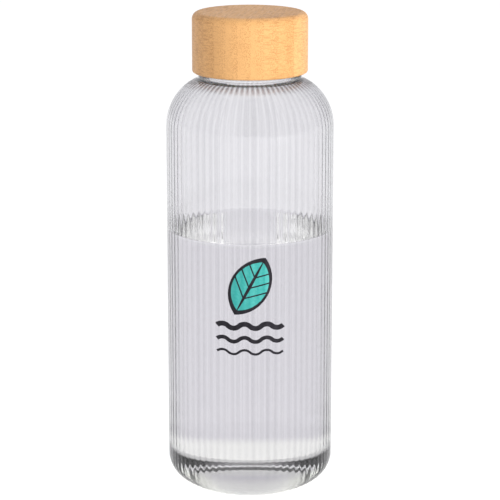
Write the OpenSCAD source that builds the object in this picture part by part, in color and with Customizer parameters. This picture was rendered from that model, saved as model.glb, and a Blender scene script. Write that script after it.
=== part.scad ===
// Ribbed glass water bottle with a screw cap of turned bamboo.
// Origin: centre of the ring that the bottle stands on. +Z is up and -Y is the printed front.
// Every radius is measured from the bottle's axis unless a comment says otherwise.

/* [Glass body] */
// Diameter over the rib crests
body_d = 85; // [80:0.5:90]
// Thickness of the wall, measured to the rib crests
wall = 2.3; // [2:0.1:3]
// Radius of the heel, where the side turns into the base
heel_r = 14; // [10:0.5:16]
// Height at which the straight side ends and the shoulder starts
shoulder_z = 188; // [150:1:200]
// Radius of the shoulder's curve, seen from the side
shoulder_r = 26; // [24:0.5:30]
// Thickness of the base
base_t = 3.4; // [3:0.1:5]
// Rise of the push-up under the base, and the radius where it starts
pushup_h = 1.5; // [1:0.1:3]
pushup_r = 24; // [18:1:26]

/* [Glass neck] */
// Radius and top of the plain collar that the ribs run up to
collar_r = 26; // [25.5:0.1:27]
collar_z = 214.4; // [214.2:0.1:214.6]
// Outer radius of the neck at the root of its thread
neck_r = 23.4; // [23:0.1:23.6]
// Inner radius of the mouth
mouth_r = 20.6; // [19:0.1:21]
// Height of the lip
lip_z = 232.5; // [232:0.1:233]

/* [Screw thread] */
// Rise for each full turn, single start and right hand
lead = 6; // [5:0.5:6]
// Turns of thread on the neck, and the same in the liner
thread_turns = 1.25; // [1:0.25:1.5]
// Height of the neck thread's lower end
thread_z = 219.5; // [219:0.1:220]
// How far each thread stands out of its wall
thread_h = 1.5; // [1.2:0.1:1.6]
// Width of a thread at its foot and along its crest
thread_foot = 2.4; // [2:0.1:2.6]
thread_crest = 1.2; // [0.8:0.1:1.4]

/* [Cap] */
// Diameter of the bamboo cap
cap_d = 58.3; // [57:0.1:60]
// Heights of the cap's lower and upper faces
cap_bottom_z = 215.2; // [215:0.1:215.4]
cap_top_z = 245.6; // [244:0.1:248]
// Radius of the cap's upper and lower edges
cap_top_round = 3.6; // [2:0.1:4]
cap_bottom_round = 1.2; // [0.5:0.1:1.5]
// Outer and inner radius of the plastic liner glued into the cap
liner_r = 26.8; // [26.6:0.1:27]
liner_bore_r = 25.4; // [25.3:0.1:25.5]
// Thickness of the liner's closed end
liner_t = 1.5; // [1.2:0.1:2]
// Thickness of the silicone seal, and its inner and outer radius
seal_t = 2; // [1.8:0.1:2.4]
seal_in_r = 20; // [19.8:0.1:20.2]
seal_out_r = 24.8; // [24.4:0.1:25]

/* [Front print] */
// Thickness of the ink, and how far the leaf leans from upright
ink_t = 0.1; // [0.05:0.01:0.15]
leaf_lean = 28; // [0:1:45]
// Length and width of the leaf, and the height of its middle
leaf_l = 33; // [24:1:36]
leaf_w = 20; // [14:1:24]
leaf_z = 114.5; // [105:0.5:125]
// Width of the dark outline round the leaf
outline_w = 1.3; // [0.8:0.1:2]
// Width of one wave's half period, and its height
wave_half = 5.5; // [4:0.5:7]
wave_h = 1.1; // [0.6:0.1:1.5]

/* [Hidden] */
$fn = 96;
body_r = body_d / 2;
cap_r = cap_d / 2;
seat_z = lip_z + seal_t;          // liner ceiling, which presses on the seal
pocket_z = seat_z + liner_t;      // bottom of the bamboo's closed end
neck_lip_round = 1.2;
collar_round = 0.8;
thread_steps = 20;                // steps for each turn of thread
thread_sink = 0.6;                // how deep a thread's foot goes into its wall
thread_dip = 0.3;                 // how deep a thread's faded ends go into its wall
run_out = 40;                     // degrees over which a thread's ends fade into the wall
liner_start = 60;                 // direction in which the liner's thread starts, from +X
liner_recess = 0.6;               // how far the liner's lower edge stands inside the bamboo
boss_h = 1.2;                     // ring on the liner's ceiling that centres the seal
boss_w = 2;
boss_gap = 0.3;                   // play between that ring and the seal
groove_r = 0.4;                   // section of the groove round the seal
wave_count = 6;                   // half periods in each wave
waves = [[94, 2.6], [87, 2], [80.5, 1.2]];   // height and line width of each wave
vein_places = [-7, -1, 5];        // places of the paired veins along the leaf
vein_angle = 48;                  // how far they lean from the middle vein
vein_w = 0.7;
middle_vein_w = 1.6;
margin = 1;                       // how far a cut runs past what it cuts
overlap = 0.01;                   // how far joined outlines reach into each other

// The half plane that a profile is revolved from
module half_plane() { translate([0, -margin]) square([body_d, cap_top_z + 2 * margin]); }

// A box from the axis out to r, from z0 up to z1, with its outer upper corner rounded
module stage_profile(r, z0, z1, round_r) {
    translate([0, z0]) square([r, z1 - round_r - z0]);
    translate([0, z1 - round_r - overlap]) square([r - round_r, round_r + overlap]);
    translate([r - round_r, z1 - round_r]) circle(round_r);
}

// Body outline: base, heel, straight side and shoulder, for the outside and for the cavity
module body_profile(r, z0, corner_r, arc_r) {
    translate([0, z0]) square([r - corner_r, corner_r + margin]);
    translate([r - corner_r, z0 + corner_r]) circle(corner_r);
    translate([0, z0 + corner_r]) square([r, shoulder_z - z0 - corner_r]);
    intersection() {
        translate([body_r - shoulder_r, shoulder_z]) circle(arc_r);
        translate([0, shoulder_z - margin]) square([r, arc_r + margin]);
    }
    translate([0, shoulder_z - margin]) square([body_r - shoulder_r, arc_r + margin]);
}

// A shallow dome, height h at the axis and ending at radius r, standing on z0
module dome_profile(z0, h, r) {
    dome_r = (r * r + h * h) / (2 * h);
    translate([0, z0 + h - dome_r]) circle(dome_r);
}

module bottle_outline() {
    difference() {
        body_profile(body_r, 0, heel_r, shoulder_r);
        dome_profile(0, pushup_h, pushup_r);
    }
    stage_profile(collar_r, shoulder_z, collar_z, collar_round);
    stage_profile(neck_r, shoulder_z, lip_z, neck_lip_round);
}

module cavity_outline() {
    difference() {
        body_profile(body_r - wall, base_t, heel_r - wall, shoulder_r - wall);
        dome_profile(base_t, pushup_h, pushup_r);
    }
    translate([0, shoulder_z]) square([mouth_r, cap_top_z - shoulder_z]);
}

// One screw thread on a cylinder of radius r. side = 1 stands outwards and side = -1 inwards
module thread(r, z, start, side) {
    count = round(thread_steps * thread_turns);
    turn = 360 * thread_turns;
    function fade(a) = min(1, a / run_out, (turn - a) / run_out);
    function tip_r(a) = r + side * (thread_h * fade(a) - thread_dip * (1 - fade(a)));
    function corner(rad, a, up) = [
        rad * cos(start + a),
        rad * sin(start + a),
        z + lead * a / 360 + up
    ];
    function ring(a) = [
        corner(r - side * thread_sink, a, -thread_foot / 2),
        corner(tip_r(a), a, -thread_crest / 2),
        corner(tip_r(a), a, thread_crest / 2),
        corner(r - side * thread_sink, a, thread_foot / 2)
    ];
    points = [for (i = [0:count]) each ring(turn * i / count)];
    walls = [
        for (i = [0:count - 1]) for (j = [0:3]) let (k = (j + 1) % 4)
            [4 * i + j, 4 * i + k, 4 * i + 4 + k, 4 * i + 4 + j]
    ];
    first = [3, 2, 1, 0];
    last = [for (j = [0:3]) 4 * count + j];
    shell = concat([first], walls, [last]);
    // Turning the section inside out for an inward thread also turns its faces
    polyhedron(points, side > 0 ? shell : [for (face = shell) [for (i = [3:-1:0]) face[i]]]);
}

module glass_bottle() {
    color([0.82, 0.86, 0.88, 0.35]) union() {
        rotate_extrude() intersection() {
            half_plane();
            difference() {
                bottle_outline();
                cavity_outline();
            }
        }
        thread(neck_r, thread_z, 0, 1);
    }
}

// Two equal arcs that meet in points, standing upright
module leaf_shape(l, w) {
    arc_r = (l * l + w * w) / (4 * w);
    intersection() {
        translate([w / 2 - arc_r, 0]) circle(arc_r);
        translate([arc_r - w / 2, 0]) circle(arc_r);
    }
}

module leaf_veins() {
    leaf_shape(leaf_l, middle_vein_w);
    for (place = vein_places) for (hand = [-1, 1])
        translate([0, place]) rotate(hand * vein_angle)
            translate([-vein_w / 2, 0]) square([vein_w, leaf_w]);
}

module leaf_inside() { leaf_shape(leaf_l - 4 * outline_w, leaf_w - 2 * outline_w); }

// A row of arcs that bend up and down in turn, with a line of width t
module wave_line(t) {
    arc_r = (wave_half * wave_half / 4 + wave_h * wave_h) / (2 * wave_h);
    for (i = [0:wave_count - 1])
        translate([wave_half * (i - (wave_count - 1) / 2), 0]) mirror([0, i % 2])
            translate([0, wave_h - arc_r]) intersection() {
                difference() {
                    circle(arc_r + t / 2);
                    circle(arc_r - t / 2);
                }
                polygon([
                    [0, 0],
                    [wave_half, 2 * (arc_r - wave_h)],
                    [-wave_half, 2 * (arc_r - wave_h)]
                ]);
            }
}

// Wraps a flat drawing onto the front of the glass as a film of ink
module ink_film() {
    intersection() {
        difference() {
            cylinder(r = body_r + ink_t, h = shoulder_z);
            translate([0, 0, -margin]) cylinder(r = body_r, h = shoulder_z + 2 * margin);
        }
        rotate([90, 0, 0]) linear_extrude(height = body_r + margin) children();
    }
}

module teal_ink() {
    color([0.11, 0.66, 0.58]) ink_film()
        translate([0, leaf_z]) rotate(-leaf_lean) difference() {
            leaf_inside();
            leaf_veins();
        }
}

module dark_ink() {
    color([0.13, 0.12, 0.15]) ink_film() {
        translate([0, leaf_z]) rotate(-leaf_lean) {
            difference() {
                leaf_shape(leaf_l, leaf_w);
                leaf_inside();
            }
            intersection() {
                leaf_inside();
                leaf_veins();
            }
        }
        for (line = waves) translate([0, line[0]]) wave_line(line[1]);
    }
}

module seal_ring() {
    color([0.93, 0.94, 0.94]) rotate_extrude() difference() {
        translate([seal_in_r, lip_z]) square([seal_out_r - seal_in_r, seal_t]);
        // A groove round the outside lets a nail lift the ring out
        translate([seal_out_r, lip_z + seal_t / 2]) circle(groove_r);
    }
}

module cap_liner() {
    skirt_z = cap_bottom_z + liner_recess;
    color([0.95, 0.95, 0.93]) union() {
        rotate_extrude() difference() {
            translate([0, skirt_z]) square([liner_r, pocket_z - skirt_z]);
            translate([0, skirt_z - margin]) square([liner_bore_r, seat_z - skirt_z + margin]);
        }
        rotate_extrude() translate([seal_in_r - boss_gap - boss_w, seat_z - boss_h])
            square([boss_w, boss_h + liner_t / 2]);
        // Half a lead below the neck's thread, so the two mesh with equal play
        thread(liner_bore_r, thread_z - lead / 2 + lead * liner_start / 360, liner_start, -1);
    }
}

module bamboo_cap() {
    color([0.87, 0.68, 0.46]) rotate_extrude() intersection() {
        half_plane();
        difference() {
            union() {
                stage_profile(cap_r, cap_bottom_z + cap_bottom_round, cap_top_z, cap_top_round);
                translate([0, cap_bottom_z])
                    square([cap_r - cap_bottom_round, cap_bottom_round + margin]);
                translate([cap_r - cap_bottom_round, cap_bottom_z + cap_bottom_round])
                    circle(cap_bottom_round);
            }
            translate([0, cap_bottom_z - margin])
                square([liner_r, pocket_z - cap_bottom_z + margin]);
        }
    }
}

glass_bottle();
teal_ink();
dark_ink();
seal_ring();
cap_liner();
bamboo_cap();
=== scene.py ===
import bpy
from math import acos, asin, atan2, cos, degrees, exp, hypot, pi, radians, sin
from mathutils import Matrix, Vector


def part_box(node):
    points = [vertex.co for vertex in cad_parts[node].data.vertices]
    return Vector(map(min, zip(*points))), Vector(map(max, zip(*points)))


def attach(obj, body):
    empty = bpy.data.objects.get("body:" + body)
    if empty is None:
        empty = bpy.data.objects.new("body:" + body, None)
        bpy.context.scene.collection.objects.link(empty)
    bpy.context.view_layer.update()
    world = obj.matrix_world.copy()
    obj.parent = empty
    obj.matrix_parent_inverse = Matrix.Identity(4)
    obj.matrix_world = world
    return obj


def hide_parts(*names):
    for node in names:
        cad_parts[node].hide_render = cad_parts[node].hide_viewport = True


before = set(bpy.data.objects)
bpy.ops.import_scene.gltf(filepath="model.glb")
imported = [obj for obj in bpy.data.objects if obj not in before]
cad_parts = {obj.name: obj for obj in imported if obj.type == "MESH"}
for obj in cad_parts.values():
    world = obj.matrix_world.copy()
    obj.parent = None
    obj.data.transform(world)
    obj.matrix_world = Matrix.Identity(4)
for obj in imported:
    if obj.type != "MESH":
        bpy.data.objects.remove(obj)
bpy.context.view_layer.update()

# ---------------------------------------------------------------------------------------------
# The stage. The bottle stands on a glowing white table, brightest in a disc under it, in a pale
# room with a dim gap on the camera's side. One wide soft lamp stands low in front, to the right.
# ---------------------------------------------------------------------------------------------
mm = 0.001
camera_tilt = 14.13
disc_r, disc_edge_r = 30 * mm, 55 * mm
disc_glow, table_glow = 1.5, 0.62
gap_half, gap_edge = 0.10, 0.50
gap_light, room_light = 0.10, 0.82
lamp_place, lamp_aim = (1.27, -1.41, 0.50), (0, 0, 0.15)

scene = bpy.context.scene
scene.view_settings.view_transform = "Standard"

bpy.ops.object.select_all(action="DESELECT")
bpy.ops.object.camera_add(location=(0, -1.0409, 0.3846), rotation=(radians(90 - camera_tilt), 0, 0))
camera = bpy.context.object
camera.data.lens = 150.3
camera.data.sensor_width = 36
scene.camera = camera

bpy.ops.mesh.primitive_plane_add(size=12, location=(0, 0, 0))
floor = bpy.context.object
floor.name = "floor"
floor_paint = bpy.data.materials.new("light_table")
floor_paint.use_nodes = True
nodes, links = floor_paint.node_tree.nodes, floor_paint.node_tree.links
table_shader = nodes["Principled BSDF"]
table_shader.inputs["Base Color"].default_value = (0.5, 0.5, 0.5, 1)
table_shader.inputs["Roughness"].default_value = 0.8
table_shader.inputs["Emission Color"].default_value = (1, 1, 1, 1)
table_place = nodes.new("ShaderNodeTexCoord")
from_middle = nodes.new("ShaderNodeVectorMath")
from_middle.operation = "LENGTH"
glow = nodes.new("ShaderNodeMapRange")
for name, number in (("From Min", disc_r), ("From Max", disc_edge_r),
                     ("To Min", disc_glow), ("To Max", table_glow)):
    glow.inputs[name].default_value = number
links.new(table_place.outputs["Object"], from_middle.inputs[0])
links.new(from_middle.outputs["Value"], glow.inputs["Value"])
links.new(glow.outputs["Result"], table_shader.inputs["Emission Strength"])
floor.data.materials.append(floor_paint)

# The room is bright all round but for a dim gap on the camera's side
room = bpy.data.worlds.new("room")
scene.world = room
room.use_nodes = True
nodes, links = room.node_tree.nodes, room.node_tree.links
way = nodes.new("ShaderNodeTexCoord")
flat_way = nodes.new("ShaderNodeVectorMath")
flat_way.operation = "MULTIPLY"
flat_way.inputs[1].default_value = (1, 1, 0)
level_way = nodes.new("ShaderNodeVectorMath")
level_way.operation = "NORMALIZE"
axes = nodes.new("ShaderNodeSeparateXYZ")
sideways = nodes.new("ShaderNodeMath")
sideways.operation = "ABSOLUTE"
away_from_camera = nodes.new("ShaderNodeMath")
away_from_camera.operation = "MAXIMUM"
walls = nodes.new("ShaderNodeMapRange")
walls.interpolation_type = "SMOOTHSTEP"
for name, number in (("From Min", gap_half), ("From Max", gap_edge),
                     ("To Min", gap_light), ("To Max", room_light)):
    walls.inputs[name].default_value = number
links.new(way.outputs["Generated"], flat_way.inputs[0])
links.new(flat_way.outputs["Vector"], level_way.inputs[0])
links.new(level_way.outputs["Vector"], axes.inputs["Vector"])
links.new(axes.outputs["X"], sideways.inputs[0])
links.new(sideways.outputs["Value"], away_from_camera.inputs[0])
links.new(axes.outputs["Y"], away_from_camera.inputs[1])
links.new(away_from_camera.outputs["Value"], walls.inputs["Value"])
links.new(walls.outputs["Result"], nodes["Background"].inputs["Strength"])
nodes["Background"].inputs["Color"].default_value = (0.98, 0.975, 1.0, 1)

bpy.ops.object.light_add(type="AREA", location=lamp_place)
lamp = bpy.context.object
lamp.name = "key_softbox"
lamp.data.shape = "RECTANGLE"
lamp.data.size, lamp.data.size_y = 1.2, 0.9
lamp.data.energy = 40
# Its hard-edged mirror image is kept out of the glass
lamp.visible_glossy = False
lamp.visible_transmission = False
towards = [a - b for a, b in zip(lamp_aim, lamp_place)]
lamp.rotation_euler = (atan2(hypot(towards[0], towards[1]), -towards[2]), 0,
                       atan2(-towards[0], towards[1]))

# ---------------------------------------------------------------------------------------------
# The glass bottle, formed in a ribbed mould: the ribs run from the heel over the shoulder to a
# plain collar and show faintly on the inside too. The neck carries a single right-hand thread,
# and the base has a shallow push-up inside a flat standing ring.
# ---------------------------------------------------------------------------------------------
def arc(centre_r, centre_z, radius, start, end, steps):
    """Points of an arc in the outline's plane, from one angle to the other, in degrees."""
    turn = [radians(start + (end - start) * i / steps) for i in range(steps + 1)]
    return [(centre_r + radius * cos(a), centre_z + radius * sin(a)) for a in turn]


def line(r0, z0, r1, z1, steps):
    """Evenly spaced points of a straight stretch of an outline."""
    return [(r0 + (r1 - r0) * i / steps, z0 + (z1 - z0) * i / steps) for i in range(steps + 1)]


def turn(name, outline, steps):
    """Turns an outline of (radius, height) points once round the Z axis, as on a lathe."""
    bpy.ops.object.select_all(action="DESELECT")
    bpy.ops.mesh.primitive_plane_add(size=mm)
    piece = bpy.context.object
    piece.name = name
    bpy.ops.object.mode_set(mode="EDIT")
    bpy.ops.mesh.merge(type="CENTER")
    at = (0, 0)
    for i, point in enumerate(outline):
        if i and hypot(point[0] - at[0], point[1] - at[1]) < 1e-6:
            continue
        step = (point[0] - at[0], 0, point[1] - at[1])
        if i:
            bpy.ops.mesh.extrude_vertices_move(TRANSFORM_OT_translate={"value": step})
        else:
            bpy.ops.transform.translate(value=step)
        at = point
    bpy.ops.object.mode_set(mode="OBJECT")
    lathe = piece.modifiers.new("lathe", "SCREW")
    lathe.axis = "Z"
    lathe.angle = 2 * pi
    lathe.steps = steps
    lathe.render_steps = steps
    lathe.use_merge_vertices = True
    lathe.merge_threshold = 1e-6
    bpy.ops.object.modifier_apply(modifier="lathe")
    bpy.ops.object.mode_set(mode="EDIT")
    bpy.ops.mesh.select_all(action="SELECT")
    bpy.ops.mesh.remove_doubles(threshold=1e-6)
    bpy.ops.mesh.normals_make_consistent(inside=False)
    bpy.ops.object.mode_set(mode="OBJECT")
    bpy.ops.object.shade_smooth()
    return piece


def push(piece, name, weight, distance):
    """Moves each point along its normal by weight(x, y, z) times distance."""
    group = piece.vertex_groups.new(name=name)
    levels = {}
    for v in piece.data.vertices:
        levels.setdefault(round(weight(*v.co), 2), []).append(v.index)
    for level, points in levels.items():
        if level > 0:
            group.add(points, level, "REPLACE")
    press = piece.modifiers.new(name, "DISPLACE")
    press.vertex_group = name
    press.mid_level = 0
    press.strength = distance
    bpy.ops.object.select_all(action="DESELECT")
    piece.select_set(True)
    bpy.context.view_layer.objects.active = piece
    bpy.ops.object.modifier_apply(modifier=name)


glass_low, glass_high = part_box("glass_bottle")
body_r = round((glass_high.x - glass_low.x) / 2, 4)
lip_z = glass_high.z
wall = 2.3 * mm
heel_r = 14 * mm
shoulder_r = 26 * mm
shoulder_z = 188 * mm
base_t = 3.4 * mm
pushup_h = 1.5 * mm
pushup_r = 24 * mm
collar_r = 26 * mm
collar_z = 214.4 * mm
neck_r = 23.4 * mm
mouth_r = 20.6 * mm
collar_round = 0.8 * mm
collar_fillet = 0.6 * mm
lip_round = 1.2 * mm
mouth_round = 0.8 * mm
rib_count = 72
rib_depth = 0.13 * mm
inner_rib_depth = 0.05 * mm
rib_start, rib_run_in = 1.5 * mm, 9 * mm
rib_run_out = 1.5 * mm
skin_slack = 0.3 * mm
glass_ior = 1.47
water_ior = 1.333
water_z = 134.7 * mm
climb = 0.8 * mm
wet_z = water_z + climb
dome_r = (pushup_r ** 2 + pushup_h ** 2) / (2 * pushup_h)
dome_edge = degrees(asin(pushup_r / dome_r))
shoulder_c = body_r - shoulder_r
shoulder_end = degrees(acos((collar_r - shoulder_c) / shoulder_r))
shoulder_top = shoulder_z + shoulder_r * sin(radians(shoulder_end))
inner_r = body_r - wall
inner_heel = heel_r - wall
inner_shoulder = shoulder_r - wall
inner_end = degrees(acos((mouth_r - shoulder_c) / inner_shoulder))

outline = arc(0, pushup_h - dome_r, dome_r, 90, 90 - dome_edge, 8)
outline += line(pushup_r, 0, body_r - heel_r, 0, 3)
outline += arc(body_r - heel_r, heel_r, heel_r, -90, 0, 14)
outline += line(body_r, heel_r, body_r, shoulder_z, 24)
outline += arc(shoulder_c, shoulder_z, shoulder_r, 0, shoulder_end, 20)
outline += line(collar_r, shoulder_top, collar_r, collar_z - collar_round, 2)
outline += arc(collar_r - collar_round, collar_z - collar_round, collar_round, 0, 90, 4)
outline += arc(neck_r + collar_fillet, collar_z + collar_fillet, collar_fillet, -90, -180, 3)
outline += line(neck_r, collar_z + collar_fillet, neck_r, lip_z - lip_round, 36)
outline += arc(neck_r - lip_round, lip_z - lip_round, lip_round, 0, 90, 5)
outline += arc(mouth_r + mouth_round, lip_z - mouth_round, mouth_round, 90, 180, 4)
outline += line(mouth_r, lip_z - mouth_round, mouth_r,
                shoulder_z + inner_shoulder * sin(radians(inner_end)), 8)
outline += arc(shoulder_c, shoulder_z, inner_shoulder, inner_end, 0, 14)
outline += line(inner_r, shoulder_z, inner_r, wet_z, 6)
outline += line(inner_r, wet_z, inner_r, base_t + inner_heel, 10)
outline += arc(inner_r - inner_heel, base_t + inner_heel, inner_heel, 0, -90, 12)
outline += arc(0, base_t + pushup_h - dome_r, dome_r, 90 - dome_edge, 90, 8)

glass = turn("ribbed_glass", outline, rib_count * 8)


def valley(x, y, z):
    """1 in the narrow valley between two ribs and 0 on a crest, fading out at both ends."""
    phase = atan2(x, -y) * rib_count
    low_fade = min(1, max(0, (z - rib_start) / rib_run_in))
    high_fade = min(1, max(0, (shoulder_top - z) / rib_run_out))
    inward_fade = min(1, hypot(x, y) / body_r) ** 2
    return (0.5 - 0.5 * cos(phase)) ** 1.5 * low_fade * high_fade * inward_fade


def skin_depth(x, y, z):
    """How deep a point of the body lies under the smooth outside of the glass."""
    r = hypot(x, y)
    if z > shoulder_z:
        return shoulder_r - hypot(r - shoulder_c, z - shoulder_z)
    if z < heel_r and r > body_r - heel_r:
        return heel_r - hypot(r - body_r + heel_r, z - heel_r)
    return min(body_r - r, z) if z > heel_r else z


def outer_valley(x, y, z):
    """The valleys on the outside of the body."""
    on_skin = skin_depth(x, y, z) < skin_slack and skin_slack < z < shoulder_top + 0.1 * mm
    return valley(x, y, z) if on_skin else 0


def inner_valley(x, y, z):
    """The same valleys on the inside, from above the heel to part way up the shoulder."""
    low, high, run = 12 * mm, shoulder_z + 20 * mm, 10 * mm
    if skin_depth(x, y, z) <= 1.5 * mm or not low < z < high:
        return 0
    return valley(x, y, z) * min(1, (z - low) / run, (high - z) / run)


push(glass, "ribs", outer_valley, -rib_depth)
push(glass, "inner_ribs", inner_valley, inner_rib_depth)

lead = 6 * mm
thread_turns = 1.25
thread_z = 219.5 * mm
thread_h = 1.5 * mm
thread_half_foot = 1.2 * mm
thread_flank = 0.6 * mm
thread_run_out = 40


def thread_ridge(start, low_z, on_wall):
    """The weight of a thread: 1 along its crest, sloping to 0 at its foot and at its two ends."""
    def ridge(x, y, z):
        """The weight at one point of the wall."""
        if not on_wall(hypot(x, y), z):
            return 0
        angle = (atan2(y, x) - radians(start)) % (2 * pi)
        best = 0
        for whole in range(2):
            along = angle + 2 * pi * whole
            ends = min(along, thread_turns * 2 * pi - along) / radians(thread_run_out)
            off = abs(z - low_z - lead * along / (2 * pi))
            side = (thread_half_foot - off) / thread_flank
            best = max(best, min(1, side) * min(1, ends))
        return max(0, best)
    return ridge


def on_neck(r, z):
    """Whether a point is on the outside of the neck, clear of the collar."""
    return r > neck_r - skin_slack and z > collar_z + 1 * mm


push(glass, "thread", thread_ridge(0, thread_z, on_neck), thread_h)


def on_outside(x, y, z):
    """Whether a point is on the outside of the glass and not on the side that the drink touches."""
    if z > shoulder_top:
        return hypot(x, y) > (neck_r + mouth_r) / 2
    return skin_depth(x, y, z) < 0.7 * wall


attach(glass, "bottle")
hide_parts("glass_bottle")


def wire(links, chain):
    """Joins each output to the input that follows it in a list of pairs."""
    for output, target in chain:
        links.new(output, target)


def maths(nodes, links, operation, *values):
    """A Math node, given numbers and other nodes' outputs, and its result."""
    sum_node = nodes.new("ShaderNodeMath")
    sum_node.operation = operation
    for i, value in enumerate(values):
        if isinstance(value, (int, float)):
            sum_node.inputs[i].default_value = value
        else:
            links.new(value, sum_node.inputs[i])
    return sum_node.outputs["Value"]


# Shared effect: where a point lies between the moulded ribs, and a slow drift from rib to rib
rib_group = bpy.data.node_groups.new("rib_lines", "ShaderNodeTree")
rib_group.interface.new_socket(name="Ribs", in_out="INPUT", socket_type="NodeSocketFloat")
rib_group.interface.new_socket(name="Valley", in_out="OUTPUT", socket_type="NodeSocketFloat")
rib_group.interface.new_socket(name="Drift", in_out="OUTPUT", socket_type="NodeSocketFloat")
rib_group.interface.new_socket(name="Height", in_out="OUTPUT", socket_type="NodeSocketFloat")
nodes, links = rib_group.nodes, rib_group.links
group_in = nodes.new("NodeGroupInput")
group_out = nodes.new("NodeGroupOutput")
place = nodes.new("ShaderNodeTexCoord")
axes = nodes.new("ShaderNodeSeparateXYZ")
links.new(place.outputs["Object"], axes.inputs["Vector"])
front = maths(nodes, links, "MULTIPLY", axes.outputs["Y"], -1)
bearing = maths(nodes, links, "ARCTAN2", axes.outputs["X"], front)
turned = maths(nodes, links, "MULTIPLY", bearing, group_in.outputs["Ribs"])
crest = maths(nodes, links, "COSINE", turned)
valley_line = maths(nodes, links, "MULTIPLY_ADD", crest, -0.5, 0.5)
rib_number = maths(nodes, links, "FLOOR", maths(nodes, links, "DIVIDE", turned, 2 * pi))
rib_dice = nodes.new("ShaderNodeTexWhiteNoise")
rib_dice.noise_dimensions = "1D"
links.new(rib_number, rib_dice.inputs["W"])
wire(links, [(valley_line, group_out.inputs["Valley"]),
             (rib_dice.outputs["Value"], group_out.inputs["Drift"]),
             (axes.outputs["Z"], group_out.inputs["Height"])])


def ramp(nodes, links, value, low, high, start, end):
    """Maps a value from low-high to start-end, with soft ends."""
    span = nodes.new("ShaderNodeMapRange")
    span.interpolation_type = "SMOOTHSTEP"
    for name, number in (("From Min", low), ("From Max", high), ("To Min", start), ("To Max", end)):
        span.inputs[name].default_value = number
    links.new(value, span.inputs["Value"])
    return span.outputs["Result"]


def blend_colour(nodes, links, factor, first, second, how="MIX"):
    """Mixes two colours, each a tuple or another node's output."""
    mixer = nodes.new("ShaderNodeMix")
    mixer.data_type = "RGBA"
    mixer.blend_type = how
    links.new(factor, mixer.inputs["Factor"])
    for name, colour in (("A", first), ("B", second)):
        socket = [i for i in mixer.inputs if i.name == name and i.type == "RGBA"][0]
        if isinstance(colour, tuple):
            socket.default_value = colour
        else:
            links.new(colour, socket)
    return [o for o in mixer.outputs if o.type == "RGBA"][0]


def let_light_through(finish, tint):
    """Lets lamplight pass a clear piece, dimmed by a tint, so that its shadow stays soft."""
    nodes, links = finish.node_tree.nodes, finish.node_tree.links
    lamp_path = nodes.new("ShaderNodeLightPath")
    see_through = nodes.new("ShaderNodeBsdfTransparent")
    see_through.inputs["Color"].default_value = tint
    pick = nodes.new("ShaderNodeMixShader")
    wire(links, [(lamp_path.outputs["Is Shadow Ray"], pick.inputs["Fac"]),
                 (nodes["Principled BSDF"].outputs["BSDF"], pick.inputs[1]),
                 (see_through.outputs["BSDF"], pick.inputs[2]),
                 (pick.outputs["Shader"], nodes["Material Output"].inputs["Surface"])])


def clear_finish(name, bend):
    """A clear, smooth, colourless finish that bends light by the given index."""
    finish = bpy.data.materials.new(name)
    finish.use_nodes = True
    body = finish.node_tree.nodes["Principled BSDF"]
    body.inputs["Base Color"].default_value = (1, 1, 1, 1)
    body.inputs["Roughness"].default_value = 0.0
    body.inputs["IOR"].default_value = bend
    body.inputs["Transmission Weight"].default_value = 1
    return finish


glass_finish = clear_finish("clear_glass", glass_ior)
nodes, links = glass_finish.node_tree.nodes, glass_finish.node_tree.links
body = nodes["Principled BSDF"]
ribs = nodes.new("ShaderNodeGroup")
ribs.node_tree = rib_group
ribs.inputs["Ribs"].default_value = rib_count
# Painted shade and light on the glass: its grey and the darker rib roots, edges, collar ticks and wet
# wall are painted shade, and the paler base is partly painted light
crest_tint_with_painted_shade = (0.775, 0.77, 0.795, 1)
root_painted_shade = (0.60, 0.595, 0.625, 1)
thick_edge_painted_shade = (0.47, 0.485, 0.495, 1)
green_base_painted_light = (0.97, 0.985, 0.90, 1)
collar_shade = (0.20, 0.155, 0.15, 1)
wet_shade = (0.84, 0.83, 0.85, 1)
tick_low, tick_high = 207.6 * mm, 210.4 * mm
base_low, base_high = 9 * mm, 15 * mm
# The glass is painted grey, darker than clear glass, as painted shade for the dim light seen through
# it. The roots between the ribs are painted a little darker still, as painted shade for the stripes
# that the ribs make, and no two ribs are quite the same
line_drift = ramp(nodes, links, ribs.outputs["Drift"], 0, 1, 0.45, 1)
depth_of_line = maths(nodes, links, "MULTIPLY", ribs.outputs["Valley"], line_drift)
on_body = ramp(nodes, links, ribs.outputs["Height"], shoulder_top, shoulder_top + 1 * mm, 1, 0)
body_line = maths(nodes, links, "MULTIPLY", depth_of_line, on_body)
lined = blend_colour(nodes, links, body_line, crest_tint_with_painted_shade, root_painted_shade)
# Seen edge on, the wall is many times thicker, and it is painted darker there: partly the thicker glass
# and partly painted shade for the darker edges
edge_on = nodes.new("ShaderNodeLayerWeight")
edge_on.inputs["Blend"].default_value = 0.5
edge_depth = ramp(nodes, links, edge_on.outputs["Facing"], 0.30, 0.95, 0, 0.75)
rimmed = blend_colour(nodes, links, edge_depth, lined, thick_edge_painted_shade)
# Where the ribs end under the collar, their roots close in, and painted shade darkens them
rib_ends = maths(nodes, links, "MULTIPLY",
                 ramp(nodes, links, ribs.outputs["Height"], tick_low, tick_high, 0, 1), on_body)
tick_line = maths(nodes, links, "POWER", ribs.outputs["Valley"], 0.8)
tick = maths(nodes, links, "MULTIPLY", rib_ends, tick_line)
tinted = blend_colour(nodes, links, tick, rimmed, collar_shade)
# Below the water line the glass is painted darker, as painted shade for the light that the water behind
# the wall takes
wet = ramp(nodes, links, ribs.outputs["Height"], water_z - 1 * mm, water_z + 1 * mm, 1, 0)
watered = blend_colour(nodes, links, wet, tinted, wet_shade, "MULTIPLY")
# Near the base the glass is painted paler, as painted light for the light it gathers from the table,
# and its thick glass looks faintly green
near_base = ramp(nodes, links, ribs.outputs["Height"], base_low, base_high, 0.95, 0)
links.new(blend_colour(nodes, links, near_base, watered, green_base_painted_light), body.inputs["Base Color"])
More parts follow.
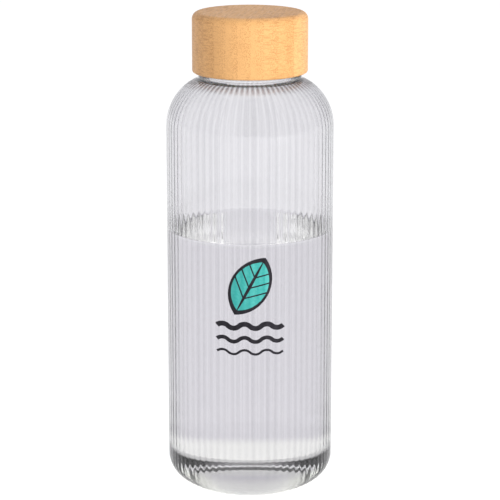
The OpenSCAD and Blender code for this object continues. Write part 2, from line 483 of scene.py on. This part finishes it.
# Moulded glass is never quite even
waves_in_glass = nodes.new("ShaderNodeTexNoise")
waves_in_glass.inputs["Scale"].default_value = 55
waves_in_glass.inputs["Detail"].default_value = 1
glass_place = nodes.new("ShaderNodeTexCoord")
glass_bump = nodes.new("ShaderNodeBump")
glass_bump.inputs["Strength"].default_value = 0.12
glass_bump.inputs["Distance"].default_value = 0.2 * mm
wire(links, [(glass_place.outputs["Object"], waves_in_glass.inputs["Vector"]),
             (waves_in_glass.outputs["Fac"], glass_bump.inputs["Height"]),
             (glass_bump.outputs["Normal"], body.inputs["Normal"])])
let_light_through(glass_finish, (0.84, 0.84, 0.86, 1))
glass.data.materials.append(glass_finish)
# The inside is colourless, so light that stays in the wall keeps its strength. Where the wall
# is wet, light passes between glass and water and hardly bends
dry_inside = clear_finish("inside_of_glass", glass_ior)
wet_inside = clear_finish("wet_glass", glass_ior / water_ior)
for finish in (dry_inside, wet_inside):
    let_light_through(finish, (1, 1, 1, 1))
    glass.data.materials.append(finish)
for face in glass.data.polygons:
    if not on_outside(*face.center):
        face.material_index = 2 if face.center.z < wet_z else 1

# ---------------------------------------------------------------------------------------------
# The water, which fills the bottle to a little over half and climbs the wall in a small
# meniscus. Only its surface shows: where it touches the glass, the glass's finish bends the light.
# ---------------------------------------------------------------------------------------------
soak = 0.15 * mm
meniscus = (0, 0.3, 0.6, 1, 1.5, 2.3, 3.5, 5)
outline = arc(0, base_t + pushup_h - dome_r - soak, dome_r, 90, 90 - dome_edge, 6)
outline += arc(inner_r - inner_heel, base_t + inner_heel, inner_heel + soak, -90, 0, 10)
outline += line(inner_r + soak, base_t + inner_heel, inner_r + soak, wet_z, 10)
outline += [(inner_r - d * mm, water_z + climb * exp(-d)) for d in meniscus]
outline += [(0, water_z)]
water = turn("water", outline, 144)
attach(water, "bottle")
water_surface = clear_finish("water_surface", water_ior)
body = water_surface.node_tree.nodes["Principled BSDF"]
body.inputs["Base Color"].default_value = (0.93, 0.93, 0.94, 1)
let_light_through(water_surface, (0.90, 0.90, 0.91, 1))
water_side = clear_finish("water_against_glass", water_ior)
water_side.node_tree.nodes["Principled BSDF"].inputs["Alpha"].default_value = 0
water.data.materials.append(water_surface)
water.data.materials.append(water_side)
for face in water.data.polygons:
    if face.center.z < water_z - 0.1 * mm or hypot(face.center.x, face.center.y) > inner_r:
        face.material_index = 1

# ---------------------------------------------------------------------------------------------
# The print. Two screen-printed inks on the front of the glass, a teal leaf and a dark outline,
# veins and three waves. The film lies on the ribs and follows them, and is bedded in the glass.
# ---------------------------------------------------------------------------------------------
ink_t = 0.05 * mm
ink_bed = 0.03 * mm
leaf_lean = 28
leaf_l = 33 * mm
leaf_w = 20 * mm
leaf_z = 114.5 * mm
outline_w = 1.3 * mm
vein_angle = 48
vein_w = 0.7 * mm
middle_vein_w = 1.6 * mm
vein_places = [-7 * mm, -1 * mm, 5 * mm]
wave_half = 5.5 * mm
wave_h = 1.1 * mm
wave_count = 6
waves = [(94 * mm, 2.6 * mm), (87 * mm, 2 * mm), (80.5 * mm, 1.2 * mm)]
print_low, print_high = 77 * mm, 132 * mm


def finish_edit(fill):
    """Merges doubles, closes the outline if asked to, and turns the faces outwards."""
    bpy.ops.mesh.select_all(action="SELECT")
    bpy.ops.mesh.remove_doubles(threshold=1e-6)
    if fill:
        bpy.ops.mesh.edge_face_add()
        bpy.ops.mesh.extrude_region_move(TRANSFORM_OT_translate={"value": (0, -body_r, 0)})
        bpy.ops.mesh.select_all(action="SELECT")
    bpy.ops.mesh.normals_make_consistent(inside=False)
    bpy.ops.object.mode_set(mode="OBJECT")


def cutter(name, flat):
    """A solid cutter through the front of the bottle, from an upright outline of (x, z) points."""
    bpy.ops.object.select_all(action="DESELECT")
    bpy.ops.mesh.primitive_plane_add(size=mm)
    piece = bpy.context.object
    piece.name = name
    bpy.ops.object.mode_set(mode="EDIT")
    bpy.ops.mesh.merge(type="CENTER")
    bpy.ops.transform.translate(value=(flat[0][0], -body_r / 2, flat[0][1]))
    for start, end in zip(flat, flat[1:] + flat[:1]):
        step = (end[0] - start[0], 0, end[1] - start[1])
        bpy.ops.mesh.extrude_vertices_move(TRANSFORM_OT_translate={"value": step})
    finish_edit(True)
    return piece


def leaned(points):
    """Tilts an upright drawing by the leaf's lean and lifts it to the leaf's middle."""
    c, s = cos(radians(leaf_lean)), sin(radians(leaf_lean))
    return [(x * c + z * s, leaf_z - x * s + z * c) for x, z in points]


def lens(length, width, steps):
    """The outline of two equal arcs that meet in points."""
    arc_r = (length ** 2 + width ** 2) / (4 * width)
    half = degrees(asin(length / 2 / arc_r))
    right = arc(width / 2 - arc_r, 0, arc_r, -half, half, steps)
    return right[:-1] + [(-x, -z) for x, z in right[:-1]]


def bar(place, hand):
    """One side vein, from the middle vein outwards."""
    c, s = cos(radians(vein_angle)), sin(radians(vein_angle))
    corners = [(-vein_w / 2, 0), (vein_w / 2, 0), (vein_w / 2, leaf_w), (-vein_w / 2, leaf_w)]
    return [(hand * (x * c + z * s), place - x * s + z * c) for x, z in corners]


def wave(height, width):
    """The outline of one printed line of arcs that bend up and down in turn."""
    bend_r = (wave_half ** 2 / 4 + wave_h ** 2) / (2 * wave_h)
    reach = degrees(asin(wave_half / 2 / bend_r))
    upper, lower = [], []
    for i in range(wave_count):
        sign = 1 if i % 2 == 0 else -1
        middle = wave_half * (i - (wave_count - 1) / 2)
        for line_points, off in ((upper, width / 2), (lower, -width / 2)):
            bent = arc(middle, wave_h - bend_r, bend_r + off * sign, 90 + reach, 90 - reach, 8)
            line_points += [(x, height + sign * z) for x, z in bent]
    return upper + lower[::-1]


def trim(piece, tool, operation):
    """Cuts a piece with a solid, which is kept."""
    knife = piece.modifiers.new("trim", "BOOLEAN")
    knife.operation = operation
    knife.object = tool
    knife.use_self = True
    bpy.ops.object.select_all(action="DESELECT")
    piece.select_set(True)
    bpy.context.view_layer.objects.active = piece
    bpy.ops.object.modifier_apply(modifier="trim")


def copied(piece, name):
    """A copy of a piece with its own mesh."""
    bpy.ops.object.select_all(action="DESELECT")
    piece.select_set(True)
    bpy.context.view_layer.objects.active = piece
    bpy.ops.object.duplicate()
    bpy.context.object.name = name
    return bpy.context.object


def joined(pieces, name):
    """Joins pieces into the first one."""
    bpy.ops.object.select_all(action="DESELECT")
    for piece in pieces:
        piece.select_set(True)
    bpy.context.view_layer.objects.active = pieces[0]
    bpy.ops.object.join()
    pieces[0].name = name
    return pieces[0]


film = turn("ink_film", line(body_r, print_low, body_r, print_high, 6), rib_count * 8)
bpy.ops.object.mode_set(mode="EDIT")
bpy.ops.mesh.select_all(action="SELECT")
bpy.ops.mesh.bisect(plane_co=(0, -0.8 * body_r, 0), plane_no=(0, 1, 0), clear_outer=True)
bpy.ops.object.mode_set(mode="OBJECT")
push(film, "ribs", outer_valley, -rib_depth)
coat = film.modifiers.new("coat", "SOLIDIFY")
coat.thickness = ink_t + ink_bed
coat.offset = (ink_t - ink_bed) / (ink_t + ink_bed)
bpy.ops.object.modifier_apply(modifier="coat")

whole_leaf = cutter("leaf_cutter", leaned(lens(leaf_l, leaf_w, 28)))
leaf_middle = cutter("middle_cutter", leaned(lens(leaf_l - 4 * outline_w, leaf_w - 2 * outline_w, 28)))
veins = [cutter("vein", leaned(lens(leaf_l, middle_vein_w, 16)))]
veins += [cutter("vein", leaned(bar(place, hand))) for place in vein_places for hand in (-1, 1)]
veins = joined(veins, "vein_cutter")

teal = copied(film, "teal_leaf")
trim(teal, leaf_middle, "INTERSECT")
dark_veins = copied(teal, "dark_veins")
trim(teal, veins, "DIFFERENCE")
trim(dark_veins, veins, "INTERSECT")
rim = copied(film, "leaf_rim")
trim(rim, whole_leaf, "INTERSECT")
trim(rim, leaf_middle, "DIFFERENCE")
lines_of_water = []
for height, width in waves:
    line_cutter = cutter("wave_cutter", wave(height, width))
    one_wave = copied(film, "wave")
    trim(one_wave, line_cutter, "INTERSECT")
    lines_of_water.append(one_wave)
    bpy.data.objects.remove(line_cutter)
dark = joined([rim, dark_veins] + lines_of_water, "dark_print")
for tool in (film, whole_leaf, leaf_middle, veins):
    bpy.data.objects.remove(tool)

teal_colours = (0.030, 0.290, 0.265, 1), (0.085, 0.420, 0.380, 1)
dark_colours = (0.008, 0.007, 0.010, 1), (0.022, 0.020, 0.026, 1)
for piece, node, (colour, pale) in ((teal, "teal_ink", teal_colours),
                                    (dark, "dark_ink", dark_colours)):
    bpy.ops.object.select_all(action="DESELECT")
    piece.select_set(True)
    bpy.context.view_layer.objects.active = piece
    bpy.ops.object.shade_smooth_by_angle(angle=radians(35))
    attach(piece, "bottle")
    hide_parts(node)
    ink = bpy.data.materials.new("screen_" + node)
    ink.use_nodes = True
    nodes, links = ink.node_tree.nodes, ink.node_tree.links
    body = nodes["Principled BSDF"]
    body.inputs["Specular IOR Level"].default_value = 0.2
    ribs = nodes.new("ShaderNodeGroup")
    ribs.node_tree = rib_group
    ribs.inputs["Ribs"].default_value = rib_count
    ink_place = nodes.new("ShaderNodeTexCoord")
    mottle = nodes.new("ShaderNodeTexNoise")
    mottle.inputs["Scale"].default_value = 900
    mottle.inputs["Detail"].default_value = 3
    mesh_grain = nodes.new("ShaderNodeTexNoise")
    mesh_grain.inputs["Scale"].default_value = 5000
    ink_bump = nodes.new("ShaderNodeBump")
    ink_bump.inputs["Strength"].default_value = 0.3
    ink_bump.inputs["Distance"].default_value = 0.02 * mm
    thin_ink = maths(nodes, links, "MULTIPLY_ADD", ribs.outputs["Drift"], 0.5,
                     maths(nodes, links, "MULTIPLY", ribs.outputs["Valley"], 0.35))
    blotch = ramp(nodes, links, mottle.outputs["Fac"], 0.3, 0.7, -0.2, 0.2)
    shade = maths(nodes, links, "ADD", thin_ink, blotch)
    gloss = ramp(nodes, links, mottle.outputs["Fac"], 0.3, 0.7, 0.28, 0.42)
    wire(links, [(ink_place.outputs["Object"], mottle.inputs["Vector"]),
                 (ink_place.outputs["Object"], mesh_grain.inputs["Vector"]),
                 (blend_colour(nodes, links, shade, colour, pale), body.inputs["Base Color"]),
                 (gloss, body.inputs["Roughness"]),
                 (mesh_grain.outputs["Fac"], ink_bump.inputs["Height"]),
                 (ink_bump.outputs["Normal"], body.inputs["Normal"])])
    piece.data.materials.clear()
    piece.data.materials.append(ink)

# ---------------------------------------------------------------------------------------------
# The seal. A flat ring of white silicone that lies against the liner's closed end and is
# pressed on the glass lip, with rounded edges and a groove round the outside for a nail.
# ---------------------------------------------------------------------------------------------
seal_low, seal_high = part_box("seal_ring")
seal_in = 20 * mm
seal_out = 24.8 * mm
seal_edge = 0.35 * mm
seal_mid = (seal_high.z + seal_low.z) / 2
groove_r = 0.4 * mm
outline = arc(seal_in + seal_edge, seal_low.z + seal_edge, seal_edge, 180, 270, 4)
outline += arc(seal_out - seal_edge, seal_low.z + seal_edge, seal_edge, -90, 0, 4)
outline += arc(seal_out, seal_mid, groove_r, 270, 90, 8)
outline += arc(seal_out - seal_edge, seal_high.z - seal_edge, seal_edge, 0, 90, 4)
outline += arc(seal_in + seal_edge, seal_high.z - seal_edge, seal_edge, 90, 180, 4)
outline += outline[:1]
seal = turn("silicone_seal", outline, 144)
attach(seal, "seal")
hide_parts("seal_ring")
silicone = bpy.data.materials.new("white_silicone")
silicone.use_nodes = True
nodes, links = silicone.node_tree.nodes, silicone.node_tree.links
body = nodes["Principled BSDF"]
body.inputs["Subsurface Weight"].default_value = 0.2
body.inputs["Subsurface Scale"].default_value = 1.5 * mm
seal_place = nodes.new("ShaderNodeTexCoord")
cloud = nodes.new("ShaderNodeTexNoise")
cloud.inputs["Scale"].default_value = 260
cloud.inputs["Detail"].default_value = 4
matt_skin = nodes.new("ShaderNodeBump")
matt_skin.inputs["Strength"].default_value = 0.25
matt_skin.inputs["Distance"].default_value = 0.03 * mm
milky = blend_colour(nodes, links, cloud.outputs["Fac"], (0.80, 0.82, 0.81, 1), (0.90, 0.91, 0.90, 1))
wire(links, [(seal_place.outputs["Object"], cloud.inputs["Vector"]),
             (milky, body.inputs["Base Color"]),
             (ramp(nodes, links, cloud.outputs["Fac"], 0.3, 0.7, 0.42, 0.58), body.inputs["Roughness"]),
             (cloud.outputs["Fac"], matt_skin.inputs["Height"]),
             (matt_skin.outputs["Normal"], body.inputs["Normal"])])
seal.data.materials.append(silicone)

# ---------------------------------------------------------------------------------------------
# The liner. A moulded cup of white polypropylene, glued into the bamboo, with the cap's thread
# on its inside wall and a low ring on its closed end that centres the seal.
# ---------------------------------------------------------------------------------------------
liner_low, liner_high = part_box("cap_liner")
liner_r = 26.8 * mm
liner_bore_r = 25.4 * mm
liner_t = 1.5 * mm
liner_edge = 0.3 * mm
boss_in, boss_out, boss_h = 17.7 * mm, 19.7 * mm, 1.2 * mm
liner_start = 60
ceiling_z = liner_high.z - liner_t
outline = [(0, ceiling_z), (boss_in - liner_edge, ceiling_z)]
outline += arc(boss_in + liner_edge, ceiling_z - boss_h + liner_edge, liner_edge, 180, 270, 3)
outline += arc(boss_out - liner_edge, ceiling_z - boss_h + liner_edge, liner_edge, -90, 0, 3)
outline += [(boss_out, ceiling_z)]
outline += arc(liner_bore_r - liner_edge, ceiling_z - liner_edge, liner_edge, 90, 0, 3)
outline += line(liner_bore_r, ceiling_z - liner_edge, liner_bore_r, liner_low.z + liner_edge, 44)
outline += arc(liner_bore_r + liner_edge, liner_low.z + liner_edge, liner_edge, 180, 270, 3)
outline += arc(liner_r - liner_edge, liner_low.z + liner_edge, liner_edge, -90, 0, 3)
outline += [(liner_r, liner_high.z), (0, liner_high.z)]
liner = turn("white_liner", outline, 288)
liner_thread_z = thread_z - lead / 2 + lead * liner_start / 360


def on_bore(r, z):
    """Whether a point is on the liner's inside wall, clear of its lower edge."""
    return abs(r - liner_bore_r) < 0.02 * mm and z > liner_low.z + 2 * liner_edge


push(liner, "thread", thread_ridge(liner_start, liner_thread_z, on_bore), thread_h)
bpy.ops.object.shade_smooth_by_angle(angle=radians(40))
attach(liner, "cap")
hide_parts("cap_liner")
liner_plastic = bpy.data.materials.new("white_polypropylene")
liner_plastic.use_nodes = True
nodes, links = liner_plastic.node_tree.nodes, liner_plastic.node_tree.links
body = nodes["Principled BSDF"]
body.inputs["Subsurface Weight"].default_value = 0.1
body.inputs["Subsurface Scale"].default_value = 1.0 * mm
liner_place = nodes.new("ShaderNodeTexCoord")
flow = nodes.new("ShaderNodeTexNoise")
flow.inputs["Scale"].default_value = 120
flow.inputs["Detail"].default_value = 5
spark = nodes.new("ShaderNodeTexNoise")
spark.inputs["Scale"].default_value = 3500
spark_bump = nodes.new("ShaderNodeBump")
spark_bump.inputs["Strength"].default_value = 0.2
spark_bump.inputs["Distance"].default_value = 0.02 * mm
flowed = blend_colour(nodes, links, flow.outputs["Fac"], (0.80, 0.80, 0.77, 1), (0.88, 0.88, 0.86, 1))
wire(links, [(liner_place.outputs["Object"], flow.inputs["Vector"]),
             (liner_place.outputs["Object"], spark.inputs["Vector"]),
             (flowed, body.inputs["Base Color"]),
             (ramp(nodes, links, flow.outputs["Fac"], 0.3, 0.7, 0.30, 0.45), body.inputs["Roughness"]),
             (spark.outputs["Fac"], spark_bump.inputs["Height"]),
             (spark_bump.outputs["Normal"], body.inputs["Normal"])])
liner.data.materials.append(liner_plastic)

# ---------------------------------------------------------------------------------------------
# The cap. Turned from a block of bamboo strips glued side by side, with the fibres lying level
# and end grain near the front, rounded over at the top edge and bored out for the liner.
# ---------------------------------------------------------------------------------------------
cap_low, cap_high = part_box("bamboo_cap")
cap_r = round((cap_high.x - cap_low.x) / 2, 5)
top_round = 3.6 * mm
bottom_round = 1.2 * mm
pocket_edge = 0.3 * mm
pocket_z = liner_high.z
outline = line(0, cap_high.z, cap_r - top_round, cap_high.z, 6)
outline += arc(cap_r - top_round, cap_high.z - top_round, top_round, 90, 0, 12)
outline += line(cap_r, cap_high.z - top_round, cap_r, cap_low.z + bottom_round, 8)
outline += arc(cap_r - bottom_round, cap_low.z + bottom_round, bottom_round, 0, -90, 6)
outline += [(liner_r + pocket_edge, cap_low.z), (liner_r, cap_low.z + pocket_edge)]
outline += [(liner_r, pocket_z), (0, pocket_z)]
cap = turn("turned_bamboo_cap", outline, 192)
bpy.ops.object.shade_smooth_by_angle(angle=radians(40))
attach(cap, "cap")
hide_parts("bamboo_cap")

strip_w = 6.3 * mm
grain_bearing = 12
bundle_w, bundle_l = 0.48 * mm, 7 * mm
level_line_h = 0.75 * mm
bamboo = bpy.data.materials.new("turned_bamboo")
bamboo.use_nodes = True
nodes, links = bamboo.node_tree.nodes, bamboo.node_tree.links
body = nodes["Principled BSDF"]
bamboo_place = nodes.new("ShaderNodeTexCoord")
along_grain = nodes.new("ShaderNodeMapping")
along_grain.inputs["Rotation"].default_value = (0, 0, radians(grain_bearing))
links.new(bamboo_place.outputs["Object"], along_grain.inputs["Vector"])
grain_axes = nodes.new("ShaderNodeSeparateXYZ")
links.new(along_grain.outputs["Vector"], grain_axes.inputs["Vector"])


def stretched(across, along):
    """The grain's coordinates, in cells of the given sizes across and along the fibres."""
    cells = nodes.new("ShaderNodeMapping")
    cells.inputs["Scale"].default_value = (1 / across, 1 / along, 1 / across)
    links.new(along_grain.outputs["Vector"], cells.inputs["Vector"])
    return cells.outputs["Vector"]


def grain_noise(across, along, detail):
    """Soft noise that follows the fibres."""
    noise = nodes.new("ShaderNodeTexNoise")
    noise.inputs["Scale"].default_value = 1
    noise.inputs["Detail"].default_value = detail
    links.new(stretched(across, along), noise.inputs["Vector"])
    return noise.outputs["Fac"]


# Each strip has its own tone, seen most where the block's side comes to the surface
strip_place = maths(nodes, links, "DIVIDE", grain_axes.outputs["X"], strip_w)
strip_dice = nodes.new("ShaderNodeTexWhiteNoise")
strip_dice.noise_dimensions = "1D"
links.new(maths(nodes, links, "FLOOR", strip_place), strip_dice.inputs["W"])
through_strip = maths(nodes, links, "FRACT", strip_place)
off_middle = maths(nodes, links, "ABSOLUTE", grain_axes.outputs["X"])
side_on = ramp(nodes, links, off_middle, 12 * mm, 24 * mm, 0.12, 1)
glue_line = ramp(nodes, links, maths(nodes, links, "PINGPONG", strip_place, 0.5), 0, 0.03, 1, 0)
# Vascular bundles: dark specks in the end grain, drawn out to level dashes towards the sides
bundles = nodes.new("ShaderNodeTexVoronoi")
bundles.inputs["Scale"].default_value = 1
links.new(stretched(bundle_w, bundle_l), bundles.inputs["Vector"])
speck = ramp(nodes, links, bundles.outputs["Distance"], 0.20, 0.60, 1, 0)
crowded = maths(nodes, links, "ADD", through_strip, grain_noise(8 * mm, 60 * mm, 1))
dense = ramp(nodes, links, crowded, 0.4, 1.3, 0.35, 1)
bundle = maths(nodes, links, "MULTIPLY", speck, dense)
fibre = grain_noise(0.30 * mm, 9 * mm, 4)
cloudy = grain_noise(11 * mm, 45 * mm, 2)
# Level lines where the tool has crossed the fibres on the side of the cap
round_cap = nodes.new("ShaderNodeCombineXYZ")
cap_bearing = maths(nodes, links, "ARCTAN2", grain_axes.outputs["X"], grain_axes.outputs["Y"])
links.new(maths(nodes, links, "MULTIPLY", cap_bearing, 7), round_cap.inputs["X"])
links.new(maths(nodes, links, "DIVIDE", grain_axes.outputs["Z"], level_line_h), round_cap.inputs["Z"])
level_noise = nodes.new("ShaderNodeTexNoise")
level_noise.inputs["Scale"].default_value = 1
level_noise.inputs["Detail"].default_value = 3
links.new(round_cap.outputs["Vector"], level_noise.inputs["Vector"])
off_end = ramp(nodes, links, off_middle, 5 * mm, 16 * mm, 0, 1)
level_peak = ramp(nodes, links, level_noise.outputs["Fac"], 0.45, 0.68, 0, 1)
level_line = maths(nodes, links, "MULTIPLY", level_peak, off_end)

pale_wood = (0.735, 0.410, 0.160, 1)
warm_wood = (0.560, 0.280, 0.088, 1)
bundle_brown = (0.360, 0.145, 0.034, 1)
strip_tone = maths(nodes, links, "MULTIPLY", strip_dice.outputs["Value"], side_on)
fibre_tone = maths(nodes, links, "MULTIPLY", fibre, 0.70)
grain_tone = maths(nodes, links, "MULTIPLY_ADD", cloudy, 0.45, fibre_tone)
plain_tone = maths(nodes, links, "SUBTRACT", grain_tone, 0.35)
tone = maths(nodes, links, "MULTIPLY_ADD", strip_tone, 0.40, plain_tone)
wood = blend_colour(nodes, links, tone, pale_wood, warm_wood)
speck_depth = maths(nodes, links, "MULTIPLY", bundle, 0.62)
specked = blend_colour(nodes, links, speck_depth, wood, bundle_brown)
level_depth = maths(nodes, links, "MULTIPLY", level_line, 0.45)
level_lined = blend_colour(nodes, links, level_depth, specked, bundle_brown)
glue_on_side = maths(nodes, links, "MULTIPLY", glue_line, side_on)
glue_depth = maths(nodes, links, "MULTIPLY", glue_on_side, 0.15)
glued = blend_colour(nodes, links, glue_depth, level_lined, bundle_brown)
relief = maths(nodes, links, "MULTIPLY_ADD", bundle, -0.6, fibre)
wood_bump = nodes.new("ShaderNodeBump")
wood_bump.inputs["Strength"].default_value = 0.7
wood_bump.inputs["Distance"].default_value = 0.07 * mm
wire(links, [(glued, body.inputs["Base Color"]),
             (ramp(nodes, links, fibre, 0.3, 0.7, 0.38, 0.55), body.inputs["Roughness"]),
             (relief, wood_bump.inputs["Height"]),
             (wood_bump.outputs["Normal"], body.inputs["Normal"])])
cap.data.materials.append(bamboo)
